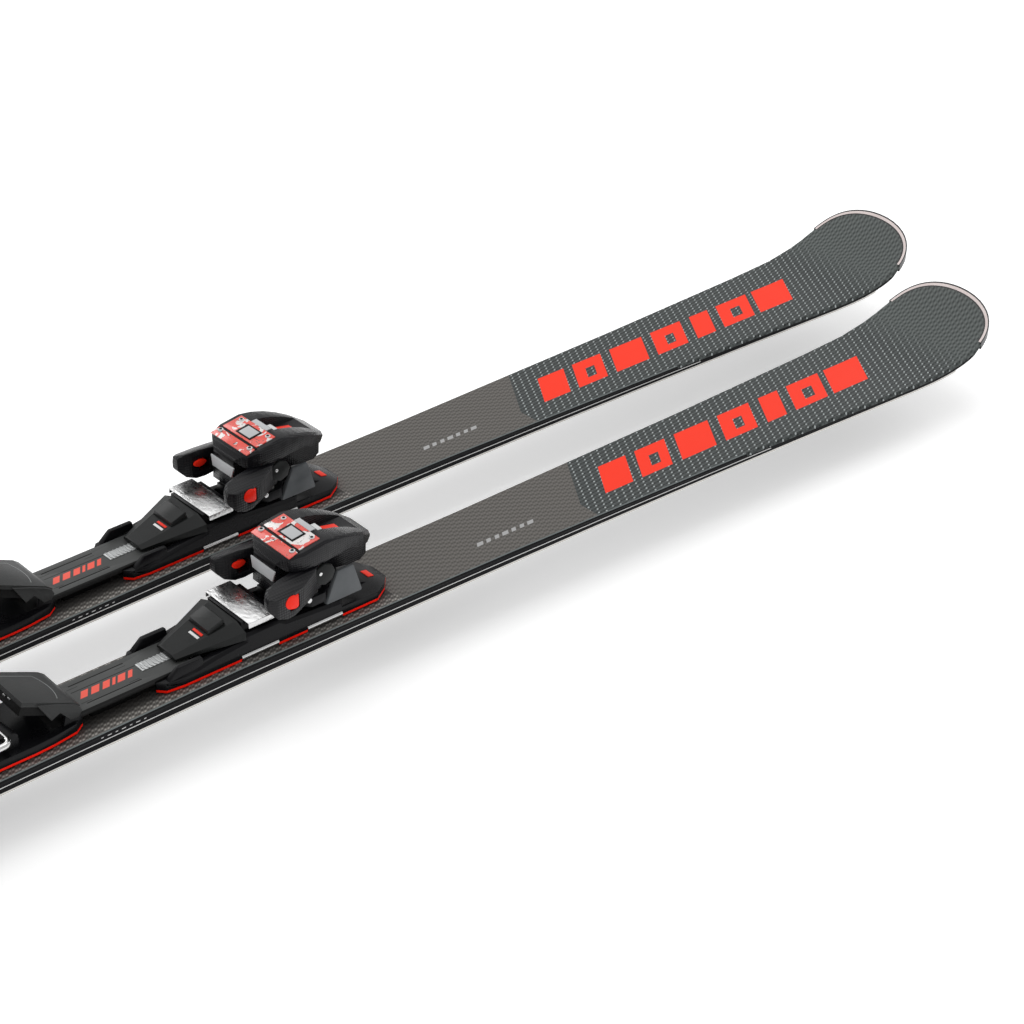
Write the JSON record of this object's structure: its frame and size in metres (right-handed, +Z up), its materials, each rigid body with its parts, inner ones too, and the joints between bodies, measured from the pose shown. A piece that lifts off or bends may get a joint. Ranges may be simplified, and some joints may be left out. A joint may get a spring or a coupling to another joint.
{
  "type": "alpine skis with bindings",
  "caption": "Pair of alpine skis with sliding toe and heel bindings, opening toe wings, heel jaw and lever, and ski brakes with their pedals raised.",
  "frame": {"origin": "centre of the footprint of both skis, on the ground that the open brake arms stand on", "axes": "+X along the skis towards the tips, +Y to the skier's left, +Z up from the running bases to the bindings"},
  "size_m": [1.8074, 0.2956, 0.167],
  "materials": {
    "wood_core": "laminated strips, bare",
    "base_black": "waxed, satin",
    "edge_steel": "ground",
    "side_wall_black": "satin with a fine white line",
    "top_sheet_grey": "printed and embossed, semi-gloss",
    "guard_white": "gloss",
    "track_black": "moulded",
    "screw_steel": "zinc plated",
    "band_grey": "moulded, satin",
    "binding_black": "moulded, satin",
    "liner_red": "moulded, satin",
    "rod_steel": "polished",
    "cover_grey": "moulded, satin",
    "button_grey": "moulded, satin",
    "plate_steel": "hammered, polished",
    "wing_black": "moulded with a fine texture",
    "roller_red": "moulded",
    "pin_steel": "ground",
    "spring_steel": "wound wire",
    "lever_grey": "moulded, satin",
    "pedal_grey": "moulded, satin",
    "wire_steel": "bright drawn wire"
  },
  "bodies": {
    "right_ski": {"right_core": "wood_core", "right_running_base": "base_black", "right_steel_edges": "edge_steel", "right_side_walls": "side_wall_black", "right_top_sheet": "top_sheet_grey", "right_end_guards": "guard_white", "right_mounting_tracks": "track_black", "right_track_screws": "screw_steel", "right_centre_band": "band_grey"},
    "right_toe_unit": {"right_toe_base": "binding_black", "right_toe_liner": "liner_red", "right_toe_rods": "rod_steel", "right_ramp_cover": "cover_grey", "right_toe_housing": "binding_black", "right_wing_pins": "pin_steel", "right_toe_spring": "spring_steel"},
    "right_lock_button": {"right_lock_button": "button_grey"},
    "right_gliding_plate": {"right_gliding_plate": "plate_steel"},
    "right_left_wing": {"right_wing_left": "wing_black", "right_roller_left": "roller_red"},
    "right_right_wing": {"right_wing_right": "wing_black", "right_roller_right": "roller_red"},
    "right_toe_screw": {"right_toe_screw": "screw_steel"},
    "right_heel_unit": {"right_heel_base": "binding_black", "right_heel_liner": "liner_red"},
    "right_heel_housing": {"right_heel_housing": "binding_black", "right_heel_spring": "spring_steel"},
    "right_heel_lever": {"right_heel_lever": "lever_grey"},
    "right_brake_pedal": {"right_brake_pedal": "pedal_grey"},
    "right_brake_arms": {"right_brake_arms": "wire_steel"},
    "left_ski": {"left_core": "wood_core", "left_running_base": "base_black", "left_steel_edges": "edge_steel", "left_side_walls": "side_wall_black", "left_top_sheet": "top_sheet_grey", "left_end_guards": "guard_white", "left_mounting_tracks": "track_black", "left_track_screws": "screw_steel", "left_centre_band": "band_grey"},
    "left_toe_unit": {"left_toe_base": "binding_black", "left_toe_liner": "liner_red", "left_toe_rods": "rod_steel", "left_ramp_cover": "cover_grey", "left_toe_housing": "binding_black", "left_wing_pins": "pin_steel", "left_toe_spring": "spring_steel"},
    "left_lock_button": {"left_lock_button": "button_grey"},
    "left_gliding_plate": {"left_gliding_plate": "plate_steel"},
    "left_left_wing": {"left_wing_left": "wing_black", "left_roller_left": "roller_red"},
    "left_right_wing": {"left_wing_right": "wing_black", "left_roller_right": "roller_red"},
    "left_toe_screw": {"left_toe_screw": "screw_steel"},
    "left_heel_unit": {"left_heel_base": "binding_black", "left_heel_liner": "liner_red"},
    "left_heel_housing": {"left_heel_housing": "binding_black", "left_heel_spring": "spring_steel"},
    "left_heel_lever": {"left_heel_lever": "lever_grey"},
    "left_brake_pedal": {"left_brake_pedal": "pedal_grey"},
    "left_brake_arms": {"left_brake_arms": "wire_steel"}
  },
  "joints": [
    {"name": "right_toe_slide", "type": "slide", "parent": "right_ski", "child": "right_toe_unit", "axis": [1, 0, 0], "range_m": [-0.012, 0.012]},
    {"name": "right_lock_button_press", "type": "slide", "parent": "right_toe_unit", "child": "right_lock_button", "axis": [0, 0, -1], "range_m": [0, 0.003], "stiffness_N_per_m": 300, "springref_m": -0.002},
    {"name": "right_gliding_plate_slide", "type": "slide", "parent": "right_toe_unit", "child": "right_gliding_plate", "axis": [0, 1, 0], "range_m": [-0.005, 0.005], "stiffness_N_per_m": 400},
    {"name": "right_left_wing_swing", "type": "hinge", "parent": "right_toe_unit", "child": "right_left_wing", "pos_m": [0.01525, -0.0623, 0.11], "axis": [0, 0, -1], "range_deg": [0, 28], "stiffness_Nm_per_rad": 1.5, "springref_deg": -11.46},
    {"name": "right_right_wing_swing", "type": "hinge", "parent": "right_toe_unit", "child": "right_right_wing", "pos_m": [0.01525, -0.1083, 0.11], "axis": [0, 0, 1], "range_deg": [0, 28], "stiffness_Nm_per_rad": 1.5, "springref_deg": -11.46},
    {"name": "right_toe_screw_turn", "type": "hinge", "parent": "right_toe_unit", "child": "right_toe_screw", "pos_m": [0.04725, -0.0853, 0.114], "axis": [1, 0, 0], "range_deg": [-1440, 1440]},
    {"name": "right_heel_slide", "type": "slide", "parent": "right_ski", "child": "right_heel_unit", "axis": [1, 0, 0], "range_m": [-0.015, 0.015]},
    {"name": "right_heel_open", "type": "hinge", "parent": "right_heel_unit", "child": "right_heel_housing", "pos_m": [-0.38475, -0.0853, 0.09], "axis": [0, -1, 0], "range_deg": [0, 42]},
    {"name": "right_heel_lever_press", "type": "hinge", "parent": "right_heel_housing", "child": "right_heel_lever", "pos_m": [-0.39475, -0.0853, 0.144], "axis": [0, -1, 0], "range_deg": [0, 25], "stiffness_Nm_per_rad": 1, "springref_deg": -11.46},
    {"name": "right_brake_arms_fold", "type": "hinge", "parent": "right_heel_unit", "child": "right_brake_arms", "pos_m": [-0.27275, -0.0853, 0.084], "axis": [0, 1, 0], "range_deg": [0, 50], "stiffness_Nm_per_rad": 2, "springref_deg": -108.86},
    {"name": "right_brake_pedal_press", "type": "hinge", "parent": "right_heel_unit", "child": "right_brake_pedal", "pos_m": [-0.21575, -0.0853, 0.083], "axis": [0, -1, 0], "range_deg": [0, 24]},
    {"name": "left_toe_slide", "type": "slide", "parent": "left_ski", "child": "left_toe_unit", "axis": [0.9999, 0.0161, 0], "range_m": [-0.012, 0.012]},
    {"name": "left_lock_button_press", "type": "slide", "parent": "left_toe_unit", "child": "left_lock_button", "axis": [0, 0, -1], "range_m": [0, 0.003], "stiffness_N_per_m": 300, "springref_m": -0.002},
    {"name": "left_gliding_plate_slide", "type": "slide", "parent": "left_toe_unit", "child": "left_gliding_plate", "axis": [-0.0161, 0.9999, 0], "range_m": [-0.005, 0.005], "stiffness_N_per_m": 400},
    {"name": "left_left_wing_swing", "type": "hinge", "parent": "left_toe_unit", "child": "left_left_wing", "pos_m": [0.08237, 0.09511, 0.11], "axis": [0, 0, -1], "range_deg": [0, 28], "stiffness_Nm_per_rad": 1.5, "springref_deg": -11.46},
    {"name": "left_right_wing_swing", "type": "hinge", "parent": "left_toe_unit", "child": "left_right_wing", "pos_m": [0.08311, 0.04912, 0.11], "axis": [0, 0, 1], "range_deg": [0, 28], "stiffness_Nm_per_rad": 1.5, "springref_deg": -11.46},
    {"name": "left_toe_screw_turn", "type": "hinge", "parent": "left_toe_unit", "child": "left_toe_screw", "pos_m": [0.11473, 0.07263, 0.114], "axis": [0.9999, 0.0161, 0], "range_deg": [-1440, 1440]},
    {"name": "left_heel_slide", "type": "slide", "parent": "left_ski", "child": "left_heel_unit", "axis": [0.9999, 0.0161, 0], "range_m": [-0.015, 0.015]},
    {"name": "left_heel_open", "type": "hinge", "parent": "left_heel_unit", "child": "left_heel_housing", "pos_m": [-0.31721, 0.06569, 0.09], "axis": [0.0161, -0.9999, 0], "range_deg": [0, 42]},
    {"name": "left_heel_lever_press", "type": "hinge", "parent": "left_heel_housing", "child": "left_heel_lever", "pos_m": [-0.32721, 0.06553, 0.144], "axis": [0.0161, -0.9999, 0], "range_deg": [0, 25], "stiffness_Nm_per_rad": 1, "springref_deg": -11.46},
    {"name": "left_brake_arms_fold", "type": "hinge", "parent": "left_heel_unit", "child": "left_brake_arms", "pos_m": [-0.20522, 0.06749, 0.084], "axis": [-0.0161, 0.9999, 0], "range_deg": [0, 50], "stiffness_Nm_per_rad": 2, "springref_deg": -108.86},
    {"name": "left_brake_pedal_press", "type": "hinge", "parent": "left_heel_unit", "child": "left_brake_pedal", "pos_m": [-0.14823, 0.0684, 0.083], "axis": [0.0161, -0.9999, 0], "range_deg": [0, 24]},
    {"name": "left_ski_place", "type": "slide", "parent": "right_ski", "child": "left_ski", "axis": [1, 0, 0], "range_m": [-0.0675, 0.05]}
  ],
  "couplings": [
    {"joint": "right_brake_pedal_press", "follows": "right_brake_arms_fold", "ratio": 0.48},
    {"joint": "left_brake_pedal_press", "follows": "left_brake_arms_fold", "ratio": 0.48}
  ]
}
